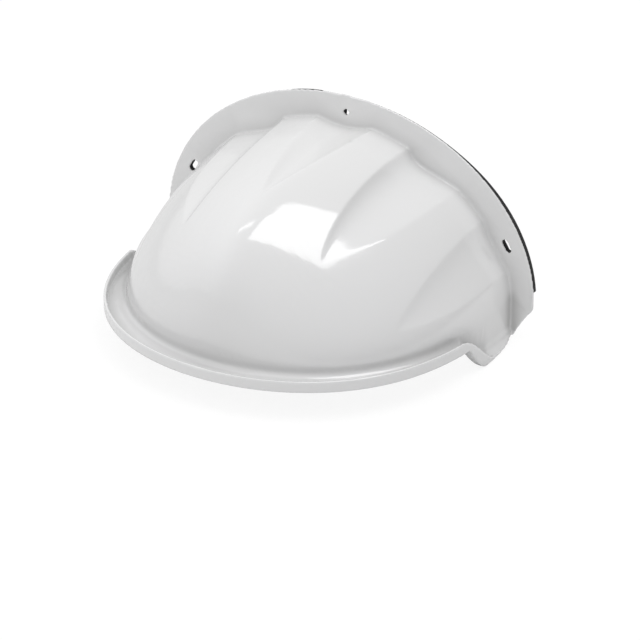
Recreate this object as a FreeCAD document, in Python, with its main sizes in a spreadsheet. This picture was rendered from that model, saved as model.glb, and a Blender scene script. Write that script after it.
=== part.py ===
# Rain hood that is screwed to a wall: one moulded shell and the foam strip behind its flange.
# Millimetres. X runs along the wall, +Y into the wall, +Z up. The origin is the top screw hole, at the wall.
import FreeCAD, Part
import math
import os

import Sketcher

# Driving sizes. Heights are measured from the gutter's rim, depths from the flange's front face.
DRIVING = (
    ("shell_wall", 2.5, "wall of the dome, the gutter floor and the lip"),
    ("flange_half_width", 200.0, "half of the flange's width at the rim level"),
    ("flange_height", 165.0, "top of the flange's elliptical outline"),
    ("corner_drop", 4.0, "straight side below the ellipse, above the slanted lower end"),
    ("corner_radius", 9.0, "rounding of the flange's lower corner"),
    ("foot_curve", 130.0, "radius of the hollow in the flange's slanted lower end"),
    ("foot_margin", 1.7, "flange's foot and the outlet outside the dome"),
    ("side_border", 23.2, "flange beside the dome at its base"),
    ("crown_border", 24.5, "flange over the dome's crown"),
    ("dome_reach", 232.0, "dome's nose in front of the flange"),
    ("plan_fullness", 2.62, "exponent of the dome's plan, larger is squarer"),
    ("crown_fall", 2.28, "exponent of the crown line where it leaves the flange"),
    ("crown_roundness", 3.27, "exponent of the crown line where it turns down at the nose"),
    ("rear_section", 1.85, "exponent of the arch at the flange, 2 is an ellipse"),
    ("front_section", 1.24, "exponent of the arch at the nose, 1 is a pointed roof"),
    ("rim_overhang", 9.8, "lip outside the dome at the sides"),
    ("nose_gutter", 25.2, "lip in front of the dome's nose"),
    ("rim_fullness", 3.05, "exponent of the lip's plan"),
    ("lip_height", 11.4, "height of the lip over the gutter's underside"),
    ("spout_drop", 26.8, "how far the gutter falls to its outlets"),
    ("spout_start", 87.0, "where the gutter begins to fall"),
    ("spout_end", 59.0, "where the gutter is level again"),
    ("lip_start", 97.0, "where the lip begins to sink"),
    ("lip_end", 40.0, "where the lip has sunk into the outlet's floor"),
    ("cove_radius", 7.5, "rounding between the dome and the gutter's floor"),
    ("outlet_radius", 10.5, "the same rounding at the outlets"),
    ("centre_flute_angle", 22.0, "width of the centre flute round the arch"),
    ("side_flute_angle", 20.0, "width of each other flute round the arch"),
    ("upper_flute_edge", 46.0, "lower edge of the upper side flute, from the horizontal"),
    ("lower_flute_edge", 13.5, "lower edge of the lower side flute, from the horizontal"),
    ("centre_flute_depth", 7.0, "depth of the centre flute at the flange"),
    ("upper_flute_depth", 8.2, "depth of the upper side flute at the flange"),
    ("lower_flute_depth", 4.0, "depth of the lower side flute at the flange"),
    ("upper_flute_skew", 4.0, "how far the upper side flute's root lies from its middle, 1 is the middle"),
    ("lower_flute_skew", 2.0, "the same for the lower side flute"),
    ("centre_flute_reach", 150.0, "tip of the centre flute in front of the flange"),
    ("upper_flute_reach", 163.0, "tip of the upper side flute"),
    ("lower_flute_reach", 147.0, "tip of the lower side flute"),
    ("screw_hole", 5.5, "diameter of the top screw hole and width of the slots"),
    ("slot_length", 13.0, "end to end length of the side slots"),
    ("hole_inset", 17.0, "top hole and slots inside the flange's outline"),
    ("slot_angle", 21.3, "place of the slots round the flange, from the horizontal"),
    ("slot_lean", 31.0, "lean of each slot from the vertical, outwards at its foot"),
    ("gasket_thickness", 4.0, "foam strip between the flange and the wall"),
    ("gasket_width", 24.0, "width of the foam strip"),
    ("gasket_inset", 0.4, "foam strip's outer edge inside the flange's"),
    ("gasket_end", 13.0, "height of the foam strip's square ends"),
)

# Sizes that follow from the sheet's, as its sketches read them
FOOT_HALF_WIDTH = "Sizes.flange_half_width - Sizes.side_border + Sizes.foot_margin"
TOP_HOLE_HEIGHT = "(Sizes.flange_height - Sizes.hole_inset)"
SLOT_HALF_SPACING = "(Sizes.flange_half_width - Sizes.hole_inset) * cos(Sizes.slot_angle)"
SLOT_HEIGHT = f"{TOP_HOLE_HEIGHT} * sin(Sizes.slot_angle)"
# Points this close are one
NEAR = 0.01
# How far cutting bodies pass the faces that they cut
OVERRUN = 5.0
# How far the curved skins start behind the plane where they are first needed
LEAD = 15.0
# A flute grows shallower and narrower towards its tip by these shares, and rounds off by this exponent
FADE_SHARE = 0.6
CLOSING_SHARE = 0.9
TIP_EXPONENT = 6
# A flute's surface ends at these shares of its reach and of its width, past the tip and both long edges
TIP_SHARE = 1.04
LOW_EDGE_SHARE = -0.14
HIGH_EDGE_SHARE = 1.1
FLUTE_ROWS = 15
FLUTE_COLUMNS = 11
# Half the step, in degrees round the arch, over which the arch's slope is taken
SLOPE_ANGLE = 0.5
# The dome's skin passes through the hits of a fan of rays from this share of its width behind the wall
EYE_SHARE = 0.4
FAN_ROWS = 33
FAN_COLUMNS = 49
SKIN_TOLERANCE = 1.0
RAY_HALVINGS = 48
# Points on each half of the rim's plan
RIM_POINTS = 13
# Share of its fall that a crisp edge is led to by the second of its curve's four poles
LEAD_SHARE = 0.47
# The roof inside the dome has this many strips and sections, the last at this share of its reach
CAVITY_STRIPS = 40
CAVITY_SECTIONS = 20
CAVITY_SHARE = 0.999
# Strips of the round at the dome's foot, and its sections round the front, down a fall and at an outlet
BEND_STRIPS = 4
FRONT_SECTIONS = 9
FALL_SECTIONS = 6
OUTLET_SECTIONS = 3


class Sizes:
    """The sheet's driving sizes with those that follow from them."""

    def __init__(self, sheet):
        for alias, _, _ in DRIVING:
            setattr(self, alias, float(getattr(sheet, alias)))
        self.face = -(self.gasket_thickness + self.shell_wall)
        self.dome_half_width = self.flange_half_width - self.side_border
        self.dome_height = self.flange_height - self.crown_border
        self.rim_half_width = self.dome_half_width + self.rim_overhang
        self.rim_reach = self.dome_reach + self.nose_gutter
        self.foot_half_width = self.dome_half_width + self.foot_margin
        self.top_hole_height = self.flange_height - self.hole_inset
        slot_angle = math.radians(self.slot_angle)
        self.slot_half_spacing = (self.flange_half_width - self.hole_inset) * math.cos(slot_angle)
        self.slot_height = self.top_hole_height * math.sin(slot_angle)


def make_sheet(doc):
    """Keep every driving size in a spreadsheet cell with its own alias."""
    sheet = doc.addObject("Spreadsheet::Sheet", "Sizes")
    for row, (alias, value, note) in enumerate(DRIVING, start=1):
        sheet.set(f"A{row}", alias)
        sheet.set(f"B{row}", str(value))
        sheet.set(f"C{row}", note)
        sheet.setAlias(f"B{row}", alias)
    doc.recompute()
    return sheet


def vec(across, depth, up):
    return FreeCAD.Vector(across, depth, up)


def spread(first, last, count):
    """Evenly spaced numbers from first to last."""
    return [first + (last - first) * index / (count - 1) for index in range(count)]


def spline(points):
    """One smooth edge through the points."""
    curve = Part.BSplineCurve()
    curve.interpolate(points)
    return curve.toShape()


def add_feature(doc, name, shape):
    feature = doc.addObject("Part::Feature", name)
    feature.Shape = shape
    return feature


def add_cut(doc, name, base, tool):
    feature = doc.addObject("Part::Cut", name)
    feature.Base = base
    feature.Tool = tool
    return feature


class Dome:
    """The smooth form of the dome, outside or inside, as arches across X that shrink towards the nose."""

    def __init__(self, sizes, inward):
        self.half_width = sizes.dome_half_width - inward
        self.height = sizes.dome_height - inward
        self.reach = sizes.dome_reach - inward
        self.plan_fullness = sizes.plan_fullness
        self.crown_fall = sizes.crown_fall
        self.crown_roundness = sizes.crown_roundness
        self.rear_section = sizes.rear_section
        self.front_section = sizes.front_section
        self.face = sizes.face

    def arch(self, depth):
        """Half width, height and exponent of the arch at a depth in front of the flange."""
        share = min(max(depth / self.reach, 0.0), 1.0)
        half_width = self.half_width * math.sqrt(1.0 - share ** self.plan_fullness)
        height = self.height * (1.0 - share ** self.crown_fall) ** (1.0 / self.crown_roundness)
        exponent = self.rear_section + (self.front_section - self.rear_section) * share
        return half_width, height, exponent

    def point(self, angle, depth):
        """Point on the dome at an angle round the arch, in degrees from the right-hand side."""
        half_width, height, exponent = self.arch(depth)
        cosine = math.cos(math.radians(angle))
        sine = math.sin(math.radians(angle))
        across = math.copysign(half_width * abs(cosine) ** (2.0 / exponent), cosine)
        up = math.copysign(height * abs(sine) ** (2.0 / exponent), sine)
        return vec(across, self.face - depth, up)

    def inward(self, angle, depth):
        """Direction across the arch, square to it, into the dome."""
        tangent = self.point(angle + SLOPE_ANGLE, depth) - self.point(angle - SLOPE_ANGLE, depth)
        return vec(-tangent.z, 0.0, tangent.x).normalize()

    def outward(self, side, depth):
        """Level direction away from the dome at its foot, on the right (1) or left (-1)."""
        share = min(max(depth / self.reach, 0.0), 1.0)
        turn = self.half_width / self.reach * self.plan_fullness / 2.0 * share ** (self.plan_fullness - 1.0)
        return vec(side * math.sqrt(1.0 - share ** self.plan_fullness), -turn, 0.0).normalize()

    def holds(self, place):
        """True where a place is inside the dome. Below the rim level its sides are upright."""
        depth = self.face - place.y
        if depth >= self.reach:
            return False
        half_width, height, exponent = self.arch(depth)
        up = max(place.z, 0.0)
        return (abs(place.x) / half_width) ** exponent + (up / height) ** exponent < 1.0

    def meet(self, eye, ray):
        """Where a ray leaves the dome, by halving the span between a place inside and one outside."""
        inside, outside = 0.0, 2.0 * (self.reach + self.half_width + self.height)
        for _ in range(RAY_HALVINGS):
            middle = (inside + outside) / 2.0
            if self.holds(eye + ray * middle):
                inside = middle
            else:
                outside = middle
        return eye + ray * inside

    def skin(self, rear):
        """Smooth surface above the rim level, where a fan of rays from behind the wall meets the dome."""
        behind = self.half_width * EYE_SHARE
        passed = behind - rear - LEAD
        steepest = math.atan(self.height / passed)
        widest = math.atan(self.half_width / passed)
        eye = vec(0.0, behind, 0.0)
        rows = []
        for rise in spread(0.0, steepest, FAN_ROWS):
            row = []
            for side in spread(-widest, widest, FAN_COLUMNS):
                ray = vec(math.sin(side), -math.cos(side) * math.cos(rise), math.cos(side) * math.sin(rise))
                row.append(self.meet(eye, ray))
            rows.append(row)
        skin = Part.BSplineSurface()
        skin.approximate(Points=rows, Tolerance=SKIN_TOLERANCE)
        return skin

    def solid(self, lowest, rear, flutes):
        """The block under the dome's skin and its flutes, with upright sides down to the lowest level."""
        skin = self.skin(rear)
        foot_line = skin.uIso(skin.bounds()[0]).toShape()
        sides = Part.makeRuledSurface(foot_line, foot_line.translated(vec(0.0, 0.0, lowest - OVERRUN)))
        front = self.face - self.reach - OVERRUN
        half_width = self.half_width + OVERRUN
        block = Part.makeBox(2.0 * half_width, rear - front, self.height + OVERRUN - lowest,
                             vec(-half_width, front, lowest))
        pieces = block.generalFuse([skin.toShape(), sides] + flutes)[0].Solids
        core = vec(0.0, self.face, self.height / 2.0)
        return next(piece for piece in pieces if piece.isInside(core, NEAR, False))


class Flute:
    """A channel pressed into the dome: widest at the flange, closing to a rounded tip.

    Angles run round the arch in degrees. A skew of 1 puts the root in the middle, a larger one nearer the
    upper edge. The pivot is the share of the width that stays in place as the flute closes.
    """

    def __init__(self, dome, low_edge, angle, depth, reach, skew, pivot):
        self.dome = dome
        self.low_edge = low_edge
        self.angle = angle
        self.depth = depth
        self.reach = reach
        self.skew = skew
        self.pivot = pivot

    def width(self, share):
        """Lower edge and width, both as angles, at a share of the reach."""
        closing = math.sqrt(1.0 - CLOSING_SHARE * share ** 2)
        return self.low_edge + self.angle * self.pivot * (1.0 - closing), self.angle * closing

    def inset(self, share, along):
        """Depth under the dome at shares of the reach and of the width. Past the flute it is negative."""
        deepest = (1.0 / (self.skew + 1.0)) ** (1.0 / self.skew)
        peak = deepest * self.skew / (self.skew + 1.0)
        section = along * (1.0 - abs(along) ** self.skew) / peak
        return self.depth * (1.0 - FADE_SHARE * share ** 2) * (section - share ** TIP_EXPONENT)

    def pressed(self, angle, depth):
        """How deep the flute lies at an angle round the arch and a depth in front of the flange."""
        share = max(depth, 0.0) / self.reach
        if share >= 1.0:
            return 0.0
        low_edge, width = self.width(share)
        along = (angle - low_edge) / width
        return max(self.inset(share, along), 0.0) if 0.0 < along < 1.0 else 0.0

    def place(self, share, along):
        """Point of the pressed surface."""
        inner = max(share, 0.0)
        low_edge, width = self.width(inner)
        angle = low_edge + width * along
        depth = share * self.reach
        return self.dome.point(angle, depth) + self.dome.inward(angle, depth) * self.inset(inner, along)

    def sheet(self, mirrored):
        """The pressed surface, past the dome's own on every side."""
        rows = []
        for share in spread(-LEAD / self.reach, TIP_SHARE, FLUTE_ROWS):
            shares = spread(LOW_EDGE_SHARE, HIGH_EDGE_SHARE, FLUTE_COLUMNS)
            row = [self.place(share, along) for along in shares]
            if mirrored:
                row = [vec(-place.x, place.y, place.z) for place in reversed(row)]
            rows.append(row)
        skin = Part.BSplineSurface()
        skin.interpolate(rows)
        return skin.toShape()


def flutes(sizes, dome, widen):
    """The upper, lower and centre flute. Widened ones for the inside keep the wall beside each flute."""
    side_angle = sizes.side_flute_angle + 2.0 * widen
    centre_angle = sizes.centre_flute_angle + 2.0 * widen
    upper = Flute(dome, sizes.upper_flute_edge - widen, side_angle, sizes.upper_flute_depth,
                  sizes.upper_flute_reach, sizes.upper_flute_skew, 0.0)
    lower = Flute(dome, sizes.lower_flute_edge - widen, side_angle, sizes.lower_flute_depth,
                  sizes.lower_flute_reach, sizes.lower_flute_skew, 0.0)
    centre = Flute(dome, 90.0 - centre_angle / 2.0, centre_angle, sizes.centre_flute_depth,
                   sizes.centre_flute_reach, 1.0, 0.5)
    return upper, lower, centre


def roof_line(dome, upper, lower, centre, depth):
    """Points of the arch at one depth, from right to left, pressed in where a flute runs."""
    points = []
    for angle in spread(0.0, 180.0, CAVITY_STRIPS + 1):
        folded = min(angle, 180.0 - angle)
        pressed = max(upper.pressed(folded, depth), lower.pressed(folded, depth), centre.pressed(angle, depth))
        points.append(dome.point(angle, depth) + dome.inward(angle, depth) * pressed)
    return points


def cavity(sizes, dome, lowest):
    """The room inside the dome, its roof in straight strips from the flange to the nose."""
    wall_angle = math.degrees(sizes.shell_wall / sizes.dome_height)
    turns = spread(0.0, math.asin(CAVITY_SHARE), CAVITY_SECTIONS)
    sections = []
    for depth in [-LEAD] + [dome.reach * math.sin(turn) for turn in turns]:
        roof = roof_line(dome, *flutes(sizes, dome, wall_angle), depth)
        feet = [vec(roof[-1].x, roof[-1].y, lowest), vec(roof[0].x, roof[0].y, lowest)]
        sections.append(Part.makePolygon(roof + feet + roof[:1]))
    return Part.makeLoft(sections, True)


def rim_block(sizes, inward, rear, lowest, highest):
    """Upright block over the gutter's plan: rounded front, straight sides, slight toe-in to the outlets."""
    half_width = sizes.rim_half_width - inward
    reach = sizes.rim_reach - inward
    toe_in = sizes.rim_half_width - sizes.foot_half_width
    side = []
    for angle in spread(0.0, math.pi / 2.0, RIM_POINTS)[:-1]:
        depth = reach * math.sin(angle)
        across = half_width * math.sqrt(1.0 - (depth / reach) ** sizes.rim_fullness)
        across -= toe_in * max(0.0, 1.0 - depth / sizes.spout_end) ** 2
        side.append(vec(across, sizes.face - depth, lowest))
    other_side = [vec(-place.x, place.y, lowest) for place in reversed(side)]
    outline = spline(side + [vec(0.0, sizes.face - reach, lowest)] + other_side)
    corners = [other_side[-1], vec(other_side[-1].x, rear, lowest), vec(side[0].x, rear, lowest), side[0]]
    lines = [Part.makeLine(first, second) for first, second in zip(corners, corners[1:])]
    plan = Part.Wire([outline] + lines)
    return Part.makeLoft([plan, plan.translated(vec(0.0, 0.0, highest - lowest))], True, True)


class FallingEdge:
    """Side view of an edge that runs level, falls towards the flange and runs level again.

    A crisp one starts its fall at a corner.
    """

    def __init__(self, face, near, near_level, far, far_level, crisp):
        self.face = face
        self.near = near
        self.far = far
        lead = far_level + (near_level - far_level) * (LEAD_SHARE if crisp else 0.0)
        self.levels = (far_level, lead, near_level, near_level)

    def level(self, depth):
        """Height of the edge at a depth in front of the flange."""
        share = min(max((self.far - depth) / (self.far - self.near), 0.0), 1.0)
        rest = 1.0 - share
        weights = (rest ** 3, 3.0 * rest ** 2 * share, 3.0 * rest * share ** 2, share ** 3)
        return sum(weight * level for weight, level in zip(weights, self.levels))

    def line(self, front, rear):
        """The edge from front to rear, drawn in the middle plane."""
        depths = spread(self.far, self.near, len(self.levels))
        poles = [vec(0.0, self.face - depth, level) for depth, level in zip(depths, self.levels)]
        fall = Part.BezierCurve()
        fall.setPoles(poles)
        first, last = vec(0.0, front, self.levels[0]), vec(0.0, rear, self.levels[-1])
        return [Part.makeLine(first, poles[0]), fall.toShape(), Part.makeLine(poles[-1], last)]


def band(sizes, lower, upper, rear):
    """Body wider than the hood whose side view lies between two edges, or from one up past the flange."""
    front = sizes.face - sizes.rim_reach - OVERRUN
    floor_edges = lower.line(front, rear)
    if upper is None:
        ceiling = sizes.flange_height + OVERRUN
        roof_edges = [Part.makeLine(vec(0.0, front, ceiling), vec(0.0, rear, ceiling))]
    else:
        roof_edges = upper.line(front, rear)
    ends = [Part.makeLine(floor_edges[0].Vertexes[0].Point, roof_edges[0].Vertexes[0].Point),
            Part.makeLine(floor_edges[-1].Vertexes[-1].Point, roof_edges[-1].Vertexes[-1].Point)]
    profile = Part.Face(Part.Wire(Part.__sortEdges__(floor_edges + roof_edges + ends)))
    half_width = sizes.flange_half_width + OVERRUN
    profile.translate(vec(-half_width, 0.0, 0.0))
    return profile.extrude(vec(2.0 * half_width, 0.0, 0.0))


def level_edges(sizes):
    """The gutter's underside, floor and rim as seen from the side."""
    under = -sizes.lip_height
    floor = under + sizes.shell_wall
    fall = sizes.spout_drop
    far, near = sizes.spout_start, sizes.spout_end
    underside = FallingEdge(sizes.face, near, under - fall, far, under, True)
    floor_line = FallingEdge(sizes.face, near, floor - fall, far, floor, True)
    rim_line = FallingEdge(sizes.face, sizes.lip_end, floor - fall, sizes.lip_start, 0.0, False)
    return underside, floor_line, rim_line


def gutter(sizes):
    """Channel with an upright lip round the dome, which falls to an open outlet at each end."""
    underside, floor_line, rim_line = level_edges(sizes)
    lowest = underside.level(0.0) - OVERRUN
    rear = -sizes.gasket_thickness
    blank = rim_block(sizes, 0.0, rear, lowest, OVERRUN).common(band(sizes, underside, rim_line, rear))
    channel = rim_block(sizes, sizes.shell_wall, rear + OVERRUN, lowest, 2.0 * OVERRUN)
    return blank.cut(channel.common(band(sizes, floor_line, None, 0.0)))


class Bend:
    """Quarter round along the dome's foot, between its upright side and a level below, with its corner."""

    def __init__(self, dome, edge, front_radius, outlet_radius, passed, rear):
        self.dome = dome
        self.edge = edge
        self.front_radius = front_radius
        self.outlet_radius = outlet_radius
        self.passed = passed
        self.rear = rear

    def radius(self, depth):
        """Radius of the round, which changes down the fall."""
        fallen = min(max((self.edge.far - depth) / (self.edge.far - self.edge.near), 0.0), 1.0)
        return self.front_radius + (self.outlet_radius - self.front_radius) * fallen

    def section(self, side, depth):
        """Outline across the foot, the round as a few straight lines. It passes the side and the level."""
        outward = self.dome.outward(side, depth)
        upward = vec(0.0, 0.0, 1.0)
        radius = self.radius(depth)
        corner = vec(side * self.dome.arch(depth)[0], self.dome.face - depth, self.edge.level(depth))
        centre = corner + (outward + upward) * radius
        turns = spread(0.0, math.pi / 2.0, BEND_STRIPS + 1)
        outline = [centre - (outward * math.sin(turn) + upward * math.cos(turn)) * radius for turn in turns]
        outline += [outline[-1] - outward * self.passed, corner - (outward + upward) * self.passed,
                    outline[0] - upward * self.passed, outline[0]]
        return Part.makePolygon(outline)

    def solids(self):
        """The bend in five runs: round the front, down both falls and back through both outlets."""
        near, far, reach = self.edge.near, self.edge.far, self.dome.reach
        turns = spread(math.asin(far / reach), math.pi / 2.0, FRONT_SECTIONS)
        half = [reach * math.sin(turn) for turn in turns]
        runs = [[self.section(1.0, depth) for depth in half]
                + [self.section(-1.0, depth) for depth in reversed(half[:-1])]]
        for side in (1.0, -1.0):
            runs.append([self.section(side, depth) for depth in spread(near, far, FALL_SECTIONS)])
            runs.append([self.section(side, depth) for depth in spread(-self.rear, near, OUTLET_SECTIONS)])
        return [Part.makeLoft(run, True) for run in runs]


def hold(sketch, expression, kind, *constraint):
    """Add a constraint whose size follows the sheet."""
    index = sketch.addConstraint(Sketcher.Constraint(kind, *constraint))
    sketch.setExpression(f"Constraints[{index}]", expression)


def add_arch(sketch, half_width, height, foot, width_cell, height_cell, foot_cell):
    """Upper part of an ellipse about the sketch's origin, from foot level to foot level."""
    start = math.asin(foot / height)
    ellipse = Part.Ellipse(vec(0.0, 0.0, 0.0), half_width, height)
    arc = sketch.addGeometry(Part.ArcOfEllipse(ellipse, start, math.pi - start), False)
    sketch.exposeInternalGeometry(arc)
    major, minor = arc + 1, arc + 2
    sketch.addConstraint(Sketcher.Constraint("Coincident", arc, 3, -1, 1))
    sketch.addConstraint(Sketcher.Constraint("Horizontal", major))
    hold(sketch, width_cell, "Distance", major, 2.0 * half_width)
    hold(sketch, height_cell, "Distance", minor, 2.0 * height)
    for end in (1, 2):
        hold(sketch, foot_cell, "DistanceY", -1, 1, arc, end, foot)
    return arc


def front_plane(body):
    """The body's own plane that faces the viewer, with its normal away from the wall."""
    return next(item for item in body.Origin.OriginFeatures if item.Role == "XZ_Plane")


def add_sketch(body, name):
    sketch = body.newObject("Sketcher::SketchObject", name)
    sketch.AttachmentSupport = [(front_plane(body), "")]
    sketch.MapMode = "FlatFace"
    return sketch


def add_screw_holes(doc, sizes, body):
    """Pocket the round top hole and the two leaning side slots through a plate."""
    sketch = add_sketch(body, f"{body.Name}Holes")
    centre = vec(0.0, sizes.top_hole_height, 0.0)
    circle = sketch.addGeometry(Part.Circle(centre, vec(0.0, 0.0, 1.0), sizes.screw_hole / 2.0), False)
    sketch.addConstraint(Sketcher.Constraint("PointOnObject", circle, 3, -2))
    hold(sketch, TOP_HOLE_HEIGHT, "DistanceY", -1, 1, circle, 3, centre.y)
    hold(sketch, "Sizes.screw_hole", "Diameter", circle, sizes.screw_hole)
    for side in (1.0, -1.0):
        add_slot(sizes, sketch, side)
    doc.recompute()
    pocket = body.newObject("PartDesign::Pocket", f"{body.Name}ScrewPocket")
    pocket.Profile = sketch
    pocket.Type = "ThroughAll"
    pocket.Reversed = True
    return pocket


def add_slot(sizes, sketch, side):
    """One slot whose foot leans outwards, drawn as two round ends joined by two tangent lines."""
    radius = sizes.screw_hole / 2.0
    half_run = (sizes.slot_length - sizes.screw_hole) / 2.0
    lean = math.radians(sizes.slot_lean)
    run = vec(-side * math.sin(lean), math.cos(lean), 0.0)
    offset = vec(run.y, -run.x, 0.0) * radius
    middle = vec(side * sizes.slot_half_spacing, sizes.slot_height, 0.0)
    top, foot = middle + run * half_run, middle - run * half_run
    top_arc = sketch.addGeometry(Part.Arc(top + offset, top + run * radius, top - offset), False)
    foot_arc = sketch.addGeometry(Part.Arc(foot - offset, foot - run * radius, foot + offset), False)
    near_line = sketch.addGeometry(Part.LineSegment(top - offset, foot - offset), False)
    far_line = sketch.addGeometry(Part.LineSegment(foot + offset, top + offset), False)
    joints = ((top_arc, 2, near_line, 1), (near_line, 2, foot_arc, 1), (foot_arc, 2, far_line, 1),
              (far_line, 2, top_arc, 1))
    for first, first_end, second, second_end in joints:
        sketch.addConstraint(Sketcher.Constraint("Tangent", first, first_end, second, second_end))
    hold(sketch, "Sizes.screw_hole", "Diameter", top_arc, sizes.screw_hole)
    half = "(Sizes.slot_length - Sizes.screw_hole) / 2"
    for arc, sign, centre in ((top_arc, 1.0, top), (foot_arc, -1.0, foot)):
        across = f"{side} * ({SLOT_HALF_SPACING} - {sign} * {half} * sin(Sizes.slot_lean))"
        level = f"{SLOT_HEIGHT} + {sign} * {half} * cos(Sizes.slot_lean)"
        hold(sketch, across, "DistanceX", -1, 1, arc, 3, centre.x)
        hold(sketch, level, "DistanceY", -1, 1, arc, 3, centre.y)


def flange_plate(doc, sizes):
    """Elliptical mounting plate whose lower ends slant in, slightly hollow, to the gutter's outlets."""
    body = doc.addObject("PartDesign::Body", "FlangePlate")
    sketch = add_sketch(body, "FlangeOutline")
    sketch.setExpression("AttachmentOffset.Base.z", "Sizes.gasket_thickness")
    half_width, drop, foot = sizes.flange_half_width, sizes.corner_drop, sizes.foot_half_width
    lowest = sizes.lip_height + sizes.spout_drop
    arch = add_arch(sketch, half_width, sizes.flange_height, 0.0,
                    "2 * Sizes.flange_half_width", "2 * Sizes.flange_height", "0")
    base = sketch.addGeometry(Part.LineSegment(vec(foot, -lowest, 0.0), vec(-foot, -lowest, 0.0)), False)
    sketch.addConstraint(Sketcher.Constraint("Symmetric", base, 1, base, 2, -2))
    hold(sketch, FOOT_HALF_WIDTH, "DistanceX", -1, 1, base, 1, foot)
    hold(sketch, "Sizes.lip_height + Sizes.spout_drop", "DistanceY", base, 1, -1, 1, lowest)
    for side, end in ((1.0, 1), (-1.0, 2)):
        shoulder, heel = vec(side * half_width, -drop, 0.0), vec(side * foot, -lowest, 0.0)
        straight = sketch.addGeometry(Part.LineSegment(vec(side * half_width, 0.0, 0.0), shoulder), False)
        hollow = sketch.addGeometry(hollow_arc(shoulder, heel, side, sizes.foot_curve), False)
        near = 1 if sketch.getPoint(hollow, 1).isEqual(shoulder, NEAR) else 2
        sketch.addConstraint(Sketcher.Constraint("Coincident", arch, end, straight, 1))
        sketch.addConstraint(Sketcher.Constraint("Coincident", straight, 2, hollow, near))
        sketch.addConstraint(Sketcher.Constraint("Coincident", hollow, 3 - near, base, end))
        sketch.addConstraint(Sketcher.Constraint("Vertical", straight))
        hold(sketch, "Sizes.corner_drop", "Distance", straight, drop)
        hold(sketch, "Sizes.foot_curve", "Radius", hollow, sizes.foot_curve)
    doc.recompute()
    pad = body.newObject("PartDesign::Pad", "FlangePad")
    pad.Profile = sketch
    pad.setExpression("Length", "Sizes.shell_wall")
    doc.recompute()
    rounding = body.newObject("PartDesign::Fillet", "FlangeCorners")
    corner_edges = [f"Edge{number}" for number, edge in enumerate(pad.Shape.Edges, start=1)
                    if is_flange_corner(edge, sizes)]
    rounding.Base = (pad, corner_edges)
    rounding.setExpression("Radius", "Sizes.corner_radius")
    doc.recompute()
    add_screw_holes(doc, sizes, body)
    return body


def hollow_arc(first, last, side, radius):
    """Arc between two points that bows in towards the hood's middle plane."""
    chord = last - first
    inward = vec(side * chord.y, -side * chord.x, 0.0).normalize()
    sagitta = radius - math.sqrt(radius ** 2 - (chord.Length / 2.0) ** 2)
    return Part.Arc(first, (first + last) * 0.5 + inward * sagitta, last)


def is_flange_corner(edge, sizes):
    """True for an edge through the plate where the straight side meets the slanted end."""
    middle = edge.CenterOfMass
    misses = (abs(middle.x) - sizes.flange_half_width, middle.z + sizes.corner_drop,
              edge.Length - sizes.shell_wall)
    return all(abs(miss) < NEAR for miss in misses)


def gasket_strip(doc, sizes):
    """Foam arch behind the flange, cut square above the flange's lower corners."""
    body = doc.addObject("PartDesign::Body", "WallGasket")
    sketch = add_sketch(body, "StripOutline")
    arcs = []
    edges = ((sizes.gasket_inset, "Sizes.gasket_inset"),
             (sizes.gasket_inset + sizes.gasket_width, "(Sizes.gasket_inset + Sizes.gasket_width)"))
    for inward, cell in edges:
        arcs.append(add_arch(sketch, sizes.flange_half_width - inward, sizes.flange_height - inward,
                             sizes.gasket_end, f"2 * (Sizes.flange_half_width - {cell})",
                             f"2 * (Sizes.flange_height - {cell})", "Sizes.gasket_end"))
    outer, inner = arcs
    for end in (1, 2):
        ends = sketch.getPoint(outer, end), sketch.getPoint(inner, end)
        line = sketch.addGeometry(Part.LineSegment(*ends), False)
        sketch.addConstraint(Sketcher.Constraint("Coincident", outer, end, line, 1))
        sketch.addConstraint(Sketcher.Constraint("Coincident", inner, end, line, 2))
    doc.recompute()
    pad = body.newObject("PartDesign::Pad", "StripPad")
    pad.Profile = sketch
    pad.setExpression("Length", "Sizes.gasket_thickness")
    doc.recompute()
    add_screw_holes(doc, sizes, body)
    return body


def fluted_dome(sizes, dome, lowest):
    """The dome's outside as a block, with its five flutes."""
    upper, lower, centre = flutes(sizes, dome, 0.0)
    sheets = [flute.sheet(mirrored) for flute in (upper, lower) for mirrored in (False, True)]
    return dome.solid(lowest, -sizes.gasket_thickness, sheets + [centre.sheet(False)])


def hood_shell(doc, sizes):
    """The moulded shell: fluted dome, gutter and flange joined outside, then hollowed to an even wall."""
    underside, floor_line, _ = level_edges(sizes)
    lowest = underside.level(0.0) - OVERRUN
    wall, cove, outlet = sizes.shell_wall, sizes.cove_radius, sizes.outlet_radius
    outside = Dome(sizes, 0.0)
    inside = Dome(sizes, wall)
    trimmed = doc.addObject("Part::MultiCommon", "DomeOverGutter")
    trimmed.Shapes = [add_feature(doc, "DomeBlank", fluted_dome(sizes, outside, lowest)),
                      add_feature(doc, "AboveUnderside", band(sizes, underside, None, 0.0))]
    coves = Bend(outside, floor_line, cove, outlet, wall / 2.0, wall / 2.0).solids()
    within_lip = rim_block(sizes, 0.0, -sizes.gasket_thickness, lowest, OVERRUN)
    outer_form = doc.addObject("Part::MultiFuse", "OuterForm")
    outer_form.Shapes = [trimmed, add_feature(doc, "Gutter", gutter(sizes)),
                         add_feature(doc, "Cove", coves[0].multiFuse(coves[1:]).common(within_lip)),
                         flange_plate(doc, sizes)]
    troughs = Bend(inside, underside, cove + wall, outlet + wall, OVERRUN / 2.0, OVERRUN).solids()
    hollow = doc.addObject("Part::MultiFuse", "Hollow")
    hollow.Shapes = [add_feature(doc, "Cavity", cavity(sizes, inside, lowest - OVERRUN))]
    hollow.Shapes += [add_feature(doc, "Trough", trough) for trough in troughs]
    return add_cut(doc, "HoodShell", outer_form, hollow)


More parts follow.
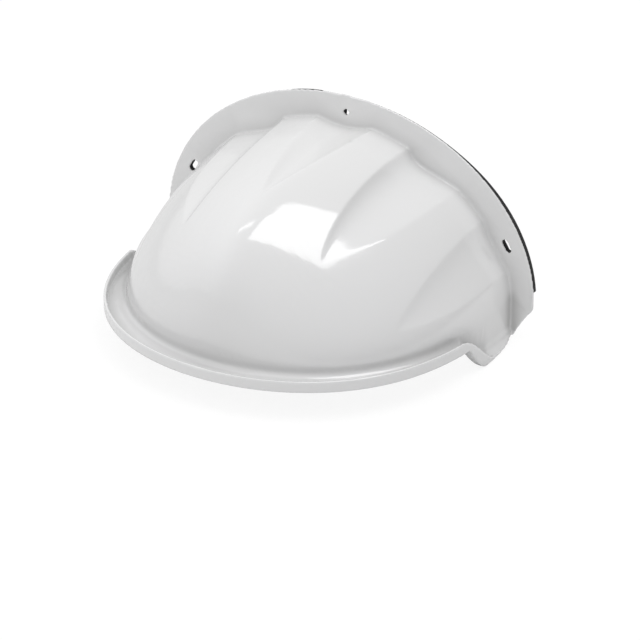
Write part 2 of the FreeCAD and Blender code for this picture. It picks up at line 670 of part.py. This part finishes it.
def report_faults(doc):
    """Stop on any object that failed to compute."""
    for item in doc.Objects:
        if "Invalid" in item.State or "Error" in item.State:
            raise RuntimeError(f"{item.Label} did not compute: {item.State}")


def main():
    doc = FreeCAD.newDocument("RainHood")
    sheet = make_sheet(doc)
    sizes = Sizes(sheet)
    nodes = {"hood_shell": hood_shell(doc, sizes), "wall_gasket": gasket_strip(doc, sizes)}
    doc.recompute()
    for label, node in nodes.items():
        node.Label = label
        node.Placement = FreeCAD.Placement(vec(0.0, 0.0, -sizes.top_hole_height), FreeCAD.Rotation())
    doc.recompute()
    report_faults(doc)
    os.makedirs("parts", exist_ok=True)
    for label, node in nodes.items():
        if node.Shape.isNull() or not node.Shape.isValid():
            raise RuntimeError(f"{label} has no valid shape")
        node.Shape.exportStep(f"parts/{label}.step")
        print(label, len(node.Shape.Solids), "solid", round(node.Shape.Volume), "mm3")


main()
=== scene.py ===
"""A white weather hood for a wall: its moulding, its foam strip, the studio and the camera."""

import logging
import math
from dataclasses import dataclass, field
from enum import Enum
from typing import Any

import bpy
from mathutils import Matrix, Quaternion, Vector
from mathutils.bvhtree import BVHTree


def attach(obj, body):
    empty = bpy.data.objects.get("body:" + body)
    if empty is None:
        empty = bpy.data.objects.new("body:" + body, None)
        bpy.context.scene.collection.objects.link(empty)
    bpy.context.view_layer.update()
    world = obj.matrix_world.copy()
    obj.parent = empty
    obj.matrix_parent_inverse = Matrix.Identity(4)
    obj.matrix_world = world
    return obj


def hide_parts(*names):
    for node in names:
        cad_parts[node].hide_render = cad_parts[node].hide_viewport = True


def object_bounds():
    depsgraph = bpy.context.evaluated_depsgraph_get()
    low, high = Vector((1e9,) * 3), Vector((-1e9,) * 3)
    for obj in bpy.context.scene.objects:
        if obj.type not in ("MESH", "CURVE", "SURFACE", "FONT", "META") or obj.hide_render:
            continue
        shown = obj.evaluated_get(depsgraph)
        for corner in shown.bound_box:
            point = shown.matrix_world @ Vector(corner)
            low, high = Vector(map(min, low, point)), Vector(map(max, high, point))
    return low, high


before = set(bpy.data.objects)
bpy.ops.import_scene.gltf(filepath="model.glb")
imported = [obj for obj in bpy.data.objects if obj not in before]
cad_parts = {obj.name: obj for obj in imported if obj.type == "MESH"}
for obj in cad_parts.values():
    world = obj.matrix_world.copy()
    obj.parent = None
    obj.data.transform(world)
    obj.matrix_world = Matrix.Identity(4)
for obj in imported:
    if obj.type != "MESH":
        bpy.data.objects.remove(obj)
CAD_BOX = [list(corner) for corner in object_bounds()]
MILLIMETRE = 0.001
FOLD = "fold"
MEAN_NOISE = 0.5
WHITE = (1.0, 1.0, 1.0, 1.0)

logging.basicConfig(level=logging.INFO, format="%(message)s")
log = logging.getLogger("hood")


class Slot(Enum):
    """The record's material slots."""

    PLASTIC = "white_plastic"
    FOAM = "black_foam"


class Output(Enum):
    """The last node of a material's tree and of the world's."""

    MATERIAL = "ShaderNodeOutputMaterial"
    WORLD = "ShaderNodeOutputWorld"


class Level:
    """A socket that is written as a number in an expression.

    Each operator adds the Math node that it stands for and gives back that node's result.
    """

    def __init__(self, sheet: "NodeSheet", socket: bpy.types.NodeSocket) -> None:
        """Keep the socket and the sheet that its nodes go on.

        Args:
            sheet: The sheet that holds the socket's node.
            socket: An output socket.
        """
        self.sheet = sheet
        self.socket = socket

    def _with(self, operation: str, *values: "Level | float") -> "Level":
        """Add one Math node.

        Args:
            operation: The Math node's operation.
            values: Its inputs in order.

        Returns:
            The node's result.
        """
        return self.sheet.level("ShaderNodeMath", {"operation": operation}, dict(enumerate(values)))

    def __add__(self, other: "Level | float") -> "Level":
        """Give self + other."""
        return self._with("ADD", self, other)

    __radd__ = __add__

    def __mul__(self, other: "Level | float") -> "Level":
        """Give self * other."""
        return self._with("MULTIPLY", self, other)

    __rmul__ = __mul__

    def __sub__(self, other: "Level | float") -> "Level":
        """Give self - other."""
        return self._with("SUBTRACT", self, other)

    def __rsub__(self, other: float) -> "Level":
        """Give other - self."""
        return self._with("SUBTRACT", other, self)


class NodeSheet:
    """A node tree that is put together from nothing."""

    def __init__(self, tree: bpy.types.NodeTree) -> None:
        """Empty the tree.

        Args:
            tree: The tree of a material or of the world.
        """
        self.tree = tree
        self.tree.nodes.clear()

    def add(
        self,
        kind: str,
        settings: dict[str, Any] | None = None,
        inputs: dict[str | int, Any] | None = None,
    ) -> bpy.types.Node:
        """Add a node.

        Args:
            kind: The node's type.
            settings: The node's own properties, set first.
            inputs: Values and links by socket name or number.

        Returns:
            The node.
        """
        made = self.tree.nodes.new(kind)
        for name, value in (settings or {}).items():
            setattr(made, name, value)
        for name, value in (inputs or {}).items():
            if isinstance(value, Level):
                self.tree.links.new(value.socket, made.inputs[name])
            else:
                made.inputs[name].default_value = value
        return made

    def level(
        self,
        kind: str,
        settings: dict[str, Any] | None = None,
        inputs: dict[str | int, Any] | None = None,
        output: str | int = 0,
    ) -> Level:
        """Add a node and give one of its outputs.

        Args:
            kind: The node's type.
            settings: The node's own properties.
            inputs: Values and links by socket name or number.
            output: The output's name or number.

        Returns:
            The output.
        """
        return Level(self, self.add(kind, settings, inputs).outputs[output])

    def noise(self, scale: float, detail: float) -> Level:
        """Add a noise over the Object coordinates.

        Args:
            scale: Waves per metre.
            detail: Octaves.

        Returns:
            The noise's level, from 0 to 1.
        """
        place = self.level("ShaderNodeTexCoord", output="Object")
        return self.level("ShaderNodeTexNoise", inputs={"Vector": place, "Scale": scale, "Detail": detail})

    def blend(self, amount: Level, first: "Level | tuple", second: "Level | tuple") -> Level:
        """Mix two colours.

        Args:
            amount: The second colour's share.
            first: The first colour, linear.
            second: The second colour, linear.

        Returns:
            The mixed colour.
        """
        first, second = (one if isinstance(one, Level) else (*one, 1.0) for one in (first, second))
        return self.level("ShaderNodeMix", {"data_type": "RGBA"}, {0: amount, 6: first, 7: second}, output=2)

    def bump(self, height: Level, depth: float) -> Level:
        """Turn a height into a normal.

        Args:
            height: The height, from 0 to 1.
            depth: The height of 1 in metres.

        Returns:
            The normal.
        """
        return self.level("ShaderNodeBump", inputs={"Strength": 1.0, "Distance": depth, "Height": height})

    def finish(self, shader: Level, output: Output = Output.MATERIAL) -> None:
        """Lead a shader to the last node.

        Args:
            shader: The surface's shader.
            output: The kind of the last node.
        """
        self.add(output.value, inputs={"Surface": shader})


def new_material(name: str) -> tuple[bpy.types.Material, NodeSheet]:
    """Start a material.

    Args:
        name: The material's name.

    Returns:
        The material and the sheet of its nodes.
    """
    material = bpy.data.materials.new(name)
    material.use_nodes = True
    return material, NodeSheet(material.node_tree)


@dataclass(frozen=True)
class MouldedPlastic:
    """Glossy white plastic as it leaves the mould.

    A large thin moulding is never quite even: its colour drifts a little, its gloss has hazy
    patches, and its face has slow ripples and a fine orange peel. Painted shade darkens its
    folds (the gutter, the foot of the dome and the corner at the flange) and makes them rougher.

    Attributes:
        colour: The plastic's colour.
        warm_colour: What it drifts to.
        drift_scale: The drift's waves per metre.
        drift_detail: The drift's octaves.
        roughness: The mean roughness.
        haze_spread: How far the roughness swings.
        haze_scale: The haze's waves per metre.
        haze_detail: The haze's octaves.
        refraction: The plastic's index of refraction.
        coat: The weight of the skin that the mould polished.
        coat_roughness: That skin's roughness.
        ripple_scale: The ripples' waves per metre.
        ripple_depth: The ripples' depth.
        peel_scale: The orange peel's waves per metre.
        peel_depth: The orange peel's depth.
        relief_detail: The octaves of ripples and orange peel.
        fold_shade_colour: The dark grey that the painted shade in the folds blends to.
        fold_shade_roughness: What the painted shade in the folds adds to the roughness.
    """

    colour: tuple[float, float, float] = (0.84, 0.84, 0.85)
    warm_colour: tuple[float, float, float] = (0.825, 0.825, 0.82)
    drift_scale: float = 5.0
    drift_detail: float = 2.0
    roughness: float = 0.14
    haze_spread: float = 0.08
    haze_scale: float = 14.0
    haze_detail: float = 4.0
    refraction: float = 1.49
    coat: float = 1.0
    coat_roughness: float = 0.08
    ripple_scale: float = 38.0
    ripple_depth: float = 0.06 * MILLIMETRE
    peel_scale: float = 420.0
    peel_depth: float = 0.003 * MILLIMETRE
    relief_detail: float = 1.0
    # Dark grey of the painted shade in the folds, and the roughness that goes with it.
    fold_shade_colour: tuple[float, float, float] = (0.36, 0.36, 0.355)
    fold_shade_roughness: float = 0.2

    def material(self) -> bpy.types.Material:
        """Make the plastic's material."""
        material, sheet = new_material("white_moulded_plastic")
        drift = sheet.noise(self.drift_scale, self.drift_detail)
        haze = self.haze_spread * (sheet.noise(self.haze_scale, self.haze_detail) - MEAN_NOISE)
        ripple = sheet.noise(self.ripple_scale, self.relief_detail)
        peel = sheet.noise(self.peel_scale, self.relief_detail)
        relief = ripple + peel * (self.peel_depth / self.ripple_depth)
        # Painted shade: the fold attribute blends the colour to dark grey where near faces shut the surface
        # in.
        fold_shade = sheet.level("ShaderNodeAttribute", {"attribute_name": FOLD}, output="Fac")
        clean = sheet.blend(drift, self.colour, self.warm_colour)
        plastic = {
            "Base Color": sheet.blend(fold_shade, clean, self.fold_shade_colour),
            "Roughness": self.roughness + haze + self.fold_shade_roughness * fold_shade,
            "Normal": sheet.bump(relief, self.ripple_depth),
            "IOR": self.refraction,
            "Coat Weight": self.coat,
            "Coat Roughness": self.coat_roughness,
        }
        sheet.finish(sheet.level("ShaderNodeBsdfPrincipled", inputs=plastic))
        return material


@dataclass(frozen=True)
class ClosedCellFoam:
    """Black sealing foam with fine closed pores and a greyer skin between them.

    Attributes:
        colour: The colour in the pores.
        pale_colour: The colour of the skin between them.
        roughness: The foam's roughness.
        pore_scale: Pores per metre.
        pore_depth: A pore's depth.
    """

    colour: tuple[float, float, float] = (0.012, 0.012, 0.013)
    pale_colour: tuple[float, float, float] = (0.035, 0.035, 0.036)
    roughness: float = 0.9
    pore_scale: float = 900.0
    pore_depth: float = 0.2 * MILLIMETRE

    def material(self) -> bpy.types.Material:
        """Make the foam's material."""
        material, sheet = new_material("black_sealing_foam")
        place = sheet.level("ShaderNodeTexCoord", output="Object")
        cells = {"Vector": place, "Scale": self.pore_scale}
        pores = sheet.level("ShaderNodeTexVoronoi", {"feature": "F1"}, cells)
        foam = {
            "Base Color": sheet.blend(pores, self.colour, self.pale_colour),
            "Roughness": self.roughness,
            "Normal": sheet.bump(pores, self.pore_depth),
        }
        sheet.finish(sheet.level("ShaderNodeBsdfPrincipled", inputs=foam))
        return material


@dataclass(frozen=True)
class StudioPaper:
    """White paper that shows the hood's shadow and stays white for the camera elsewhere.

    Attributes:
        colour: The paper's colour.
        camera_white: The glow's share in what the camera sees.
        glow: The glow's strength, at which paper in full light is just white.
    """

    colour: tuple[float, float, float] = (0.8, 0.8, 0.8)
    camera_white: float = 0.8
    glow: float = 1.09

    def material(self) -> bpy.types.Material:
        """Make the paper's material."""
        material, sheet = new_material("studio_paper")
        seen = sheet.level("ShaderNodeLightPath", output="Is Camera Ray")
        paper = sheet.level("ShaderNodeBsdfDiffuse", inputs={"Color": (*self.colour, 1.0)})
        glow = sheet.level("ShaderNodeEmission", inputs={"Strength": self.glow})
        mixed = {0: seen * self.camera_white, 1: paper, 2: glow}
        sheet.finish(sheet.level("ShaderNodeMixShader", inputs=mixed))
        return material


def pick(thing: bpy.types.Object) -> None:
    """Select only this object and make it active."""
    bpy.ops.object.select_all(action="DESELECT")
    thing.select_set(True)
    bpy.context.view_layer.objects.active = thing


def ramp(value: float, low: float, high: float) -> float:
    """Rise smoothly from 0 to 1.

    Args:
        value: Where the rise is read.
        low: Where it is 0.
        high: Where it is 1.

    Returns:
        The rise's height.
    """
    share = min(max((value - low) / (high - low), 0.0), 1.0)
    return share * share * (3.0 - 2.0 * share)


@dataclass
class Piece:
    """A piece whose surface starts as a copy of a solid's, joined up.

    Attributes:
        node: The solid's name.
        slot: The material slot that it is meant for; not used.
        merge_gap: Corners nearer than this are one corner.
    """

    node: str
    slot: Slot
    merge_gap: float = 0.02 * MILLIMETRE
    piece: bpy.types.Object = field(init=False)

    def copy(self) -> None:
        """Copy the solid's surface and join its triangles."""
        pick(bpy.data.objects[self.node])
        bpy.ops.object.duplicate()
        self.piece = bpy.context.view_layer.objects.active
        self.piece.name = f"{self.node}_surface"
        bpy.ops.mesh.customdata_custom_splitnormals_clear()
        bpy.ops.object.mode_set(mode="EDIT")
        bpy.ops.mesh.select_all(action="SELECT")
        bpy.ops.mesh.remove_doubles(threshold=self.merge_gap)
        bpy.ops.object.mode_set(mode="OBJECT")

    def modify(self, kind: str, **settings: Any) -> None:
        """Add a modifier and apply it.

        Args:
            kind: The modifier's type.
            settings: Its properties.
        """
        modifier = self.piece.modifiers.new(kind.lower(), kind)
        for name, value in settings.items():
            setattr(modifier, name, value)
        bpy.ops.object.modifier_apply(modifier=modifier.name)

    def hand_over(self) -> None:
        """Let the piece stand for its solid."""
        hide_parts(self.node)
        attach(self.piece, "root")

    def dress(self, material: bpy.types.Material) -> None:
        """Give the piece its material."""
        self.piece.data.materials.clear()
        self.piece.data.materials.append(material)
        log.info("%s: %d faces", self.piece.name, len(self.piece.data.polygons))


@dataclass
class Moulding(Piece):
    """The hood itself: flange, fluted half dome, gutter and lip in one.

    Attributes:
        grain: The mesh size of the finished surface.
        edge_passes: Smoothing passes that round every edge as the mould does.
        pass_share: How far a pass moves a point to the middle of its neighbours.
        flute_passes: More passes for the dome, which make its flutes run out softly.
        junction: How far in front of the wall the dome's own face starts, and is soft throughout.
        foot: The heights between which the foot of the dome becomes the soft skin of the dome.
        face_limit: The most triangles that the finished surface may have.
        fold_reach: How near another face must be to make a fold.
        fold_lift: How far above the surface a feeler starts.
        fold_feelers: How many ways round each point a fold is felt for.
        fold_lean: How far the feelers lean from the point's normal.
        fold_gain: The painted shade's strength where all feelers touch nothing but near faces.
        upper_shade_share: What is left of the painted shade above the gutter.
    """

    grain: float = 1.3 * MILLIMETRE
    edge_passes: int = 3
    pass_share: float = 0.5
    flute_passes: int = 5
    junction: tuple[float, float] = (6.9 * MILLIMETRE, 9.0 * MILLIMETRE)
    foot: tuple[float, float] = (-146.0 * MILLIMETRE, -134.0 * MILLIMETRE)
    face_limit: int = 190000
    fold_reach: float = 21.0 * MILLIMETRE
    fold_lift: float = 0.5 * MILLIMETRE
    fold_feelers: int = 8
    fold_lean: float = math.radians(55.0)
    fold_gain: float = 1.75
    upper_shade_share: float = 0.4

    def build(self) -> None:
        """Give the moulding an even surface with moulded edges."""
        self.copy()
        self.modify("REMESH", mode="VOXEL", voxel_size=self.grain, use_smooth_shade=True)
        self.modify("SMOOTH", factor=self.pass_share, iterations=self.edge_passes)
        dome = self._mark_dome()
        self.modify("SMOOTH", factor=self.pass_share, iterations=self.flute_passes, vertex_group=dome)
        triangles = 2 * len(self.piece.data.polygons)
        self.modify("DECIMATE", ratio=min(1.0, self.face_limit / triangles))
        bpy.ops.object.shade_smooth()
        self._find_folds()
        self.hand_over()

    def _mark_dome(self) -> str:
        """Weigh the dome's skin, fading out at the flange and at the gutter.

        Returns:
            The name of the weights' group.
        """
        group = self.piece.vertex_groups.new(name="dome")
        for vertex in self.piece.data.vertices:
            weight = ramp(-vertex.co.y, *self.junction) * ramp(vertex.co.z, *self.foot)
            if weight > 0.0:
                group.add([vertex.index], weight, "REPLACE")
        return group.name

    def _find_folds(self) -> None:
        """Write how deep in a fold each point lies, as the strength of the shade painted there."""
        mesh = self.piece.data
        tree = BVHTree.FromObject(self.piece, bpy.context.evaluated_depsgraph_get())
        depths = []
        for vertex in mesh.vertices:
            normal = vertex.normal
            start = vertex.co + normal * self.fold_lift
            feeler = Quaternion(normal.orthogonal(), self.fold_lean) @ normal
            step = Quaternion(normal, 2.0 * math.pi / self.fold_feelers)
            depth = 0.0
            for _ in range(self.fold_feelers):
                distance = tree.ray_cast(start, feeler, self.fold_reach)[3]
                if distance is not None:
                    depth += 1.0 - distance / self.fold_reach
                feeler = step @ feeler
            # The painted shade is kept weaker above the foot of the dome.
            share = 1.0 - (1.0 - self.upper_shade_share) * ramp(vertex.co.z, *self.foot)
            depths.append(min(1.0, self.fold_gain * share * depth / self.fold_feelers))
        mesh.attributes.new(FOLD, "FLOAT", "POINT").data.foreach_set("value", depths)
        log.info("folds felt at %d points", len(depths))


@dataclass
class FoamStrip(Piece):
    """The sealing strip behind the flange.

    Attributes:
        edge_radius: The softness of its cut edges.
        edge_angle: Faces that meet at more than this angle form an edge.
        edge_cuts: How many faces round an edge.
        outer_wall: How squarely a face of the outer wall looks away from the middle.
        tuck: How much further in than the flange's edge the strip lies round the crown.
        tuck_fade: How far from the middle that starts to fade, and where it ends.
        proud_from: Where a length that was laid further out starts.
        proud_to: Where it ends.
        proud_share: How much less that length is tucked in.
        middle: The height that the strip runs round.
    """

    edge_radius: float = 0.5 * MILLIMETRE
    edge_angle: float = math.radians(40.0)
    edge_cuts: int = 2
    outer_wall: float = 0.5
    tuck: float = 2.8 * MILLIMETRE
    tuck_fade: tuple[float, float] = (95.0 * MILLIMETRE, 180.0 * MILLIMETRE)
    proud_from: tuple[float, float] = (-72.0 * MILLIMETRE, -60.0 * MILLIMETRE)
    proud_to: tuple[float, float] = (-34.0 * MILLIMETRE, -22.0 * MILLIMETRE)
    proud_share: float = 0.6
    middle: float = -148.0 * MILLIMETRE

    def build(self) -> None:
        """Lay the strip as the photograph shows it and soften its cut edges."""
        self.copy()
        self._tuck_in()
        self.modify(
            "BEVEL",
            width=self.edge_radius,
            segments=self.edge_cuts,
            limit_method="ANGLE",
            angle_limit=self.edge_angle,
        )
        bpy.ops.object.shade_smooth_by_angle(angle=self.edge_angle)
        self.hand_over()

    def _tuck_in(self) -> None:
        """Move the strip's outer wall in under the flange."""
        mesh = self.piece.data
        outward: dict[int, Vector] = {}
        for face in mesh.polygons:
            away = Vector((face.center.x, 0.0, face.center.z - self.middle))
            if face.normal.dot(away.normalized()) > self.outer_wall:
                for index in face.vertices:
                    outward[index] = outward.get(index, Vector()) + face.normal
        for index, direction in outward.items():
            corner = mesh.vertices[index].co
            fade = 1.0 - ramp(abs(corner.x), *self.tuck_fade)
            proud = ramp(corner.x, *self.proud_from) - ramp(corner.x, *self.proud_to)
            corner -= direction.normalized() * self.tuck * fade * (1.0 - self.proud_share * proud)


@dataclass
class SoftBox:
    """A lamp behind a square of cloth.

    Attributes:
        name: The lamp's name.
        place: Where it hangs.
        aim: What it faces.
        width: The cloth's width.
        height: The cloth's height.
        radiance: How bright the cloth is, where white is 1.
    """

    name: str
    place: tuple[float, float, float]
    aim: tuple[float, float, float]
    width: float
    height: float
    radiance: float

    def build(self) -> None:
        """Hang the lamp and turn it to its aim."""
        bpy.ops.object.light_add(type="AREA", location=self.place)
        lamp = bpy.context.object
        lamp.name = self.name
        lamp.data.shape = "RECTANGLE"
        lamp.data.size = self.width
        lamp.data.size_y = self.height
        lamp.data.energy = self.radiance * math.pi * self.width * self.height
        facing = Vector(self.aim) - Vector(self.place)
        lamp.rotation_euler = facing.to_track_quat("-Z", "Y").to_euler()
        log.info("lamp %s", self.name)


@dataclass
class Studio:
    """The floor, the lamps and the surrounding light.

    Attributes:
        floor_size: The floor's width.
        floor_gap: How far the floor lies below the hood.
        world_level: The surrounding light's mean strength.
        world_lean: How much stronger it is along each axis.
        lamps: The soft boxes.
    """

    floor_size: float = 40.0
    floor_gap: float = 0.5 * MILLIMETRE
    world_level: float = 0.53
    world_lean: tuple[float, float, float] = (-0.32, -0.10, 0.30)
    lamps: list[SoftBox] = field(
        default_factory=lambda: [
            SoftBox("overhead", (0.70, -0.05, 1.93), (0.0, -0.14, -0.05), 1.15, 1.15, 3.2),
            SoftBox("strip_lamp", (-0.48, -0.30, 2.05), (-0.05, -0.15, -0.03), 0.15, 0.80, 3.2),
        ]
    )

    def build(self) -> None:
        """Lay the floor, set the world's light and hang the lamps."""
        floor_level = CAD_BOX[0][2] - self.floor_gap
        bpy.ops.object.select_all(action="DESELECT")
        bpy.ops.mesh.primitive_plane_add(size=self.floor_size, location=(0.0, 0.0, floor_level))
        floor = bpy.context.object
        floor.name = "studio_floor"
        floor.data.materials.append(StudioPaper().material())
        self._light_world()
        for lamp in self.lamps:
            lamp.build()

    def _light_world(self) -> None:
        """Light the studio evenly, and show it white where it is seen."""
        world = bpy.data.worlds.new("studio_light")
        bpy.context.scene.world = world
        world.use_nodes = True
        sheet = NodeSheet(world.node_tree)
        seen = sheet.level("ShaderNodeLightPath", output="Is Camera Ray")
        way = sheet.level("ShaderNodeTexCoord", output="Generated")
        dot_product = {"operation": "DOT_PRODUCT"}
        lean = sheet.level("ShaderNodeVectorMath", dot_product, {0: way, 1: self.world_lean}, "Value")
        glow = self.world_level + lean
        light = {"Color": WHITE, "Strength": glow + (1.0 - glow) * seen}
        sheet.finish(sheet.level("ShaderNodeBackground", inputs=light), Output.WORLD)


@dataclass
class Camera:
    """The photograph's viewpoint.

    Attributes:
        place: Where the camera stands.
        aim: What it points at.
        lens: Its focal length in millimetres.
        sensor: Its sensor's width in millimetres.
    """

    place: tuple[float, float, float] = (1.3523, -2.2722, 1.1518)
    aim: tuple[float, float, float] = (0.0034, -0.0581, -0.1917)
    lens: float = 175.5
    sensor: float = 36.0

    def build(self) -> None:
        """Set up the camera and make it the scene's own."""
        bpy.ops.object.camera_add(location=self.place)
        camera = bpy.context.object
        camera.name = "photo_camera"
        camera.data.lens = self.lens
        camera.data.sensor_width = self.sensor
        facing = Vector(self.aim) - Vector(self.place)
        camera.rotation_euler = facing.to_track_quat("-Z", "Y").to_euler()
        bpy.context.scene.camera = camera


def main() -> None:
    """Build the pieces, dress them and set up the studio."""
    bpy.context.scene.view_settings.view_transform = "Standard"
    Camera().build()
    moulding = Moulding("hood_shell", Slot.PLASTIC)
    moulding.build()
    moulding.dress(MouldedPlastic().material())
    strip = FoamStrip("wall_gasket", Slot.FOAM)
    strip.build()
    strip.dress(ClosedCellFoam().material())
    Studio().build()


if __name__ == "__main__":
    main()
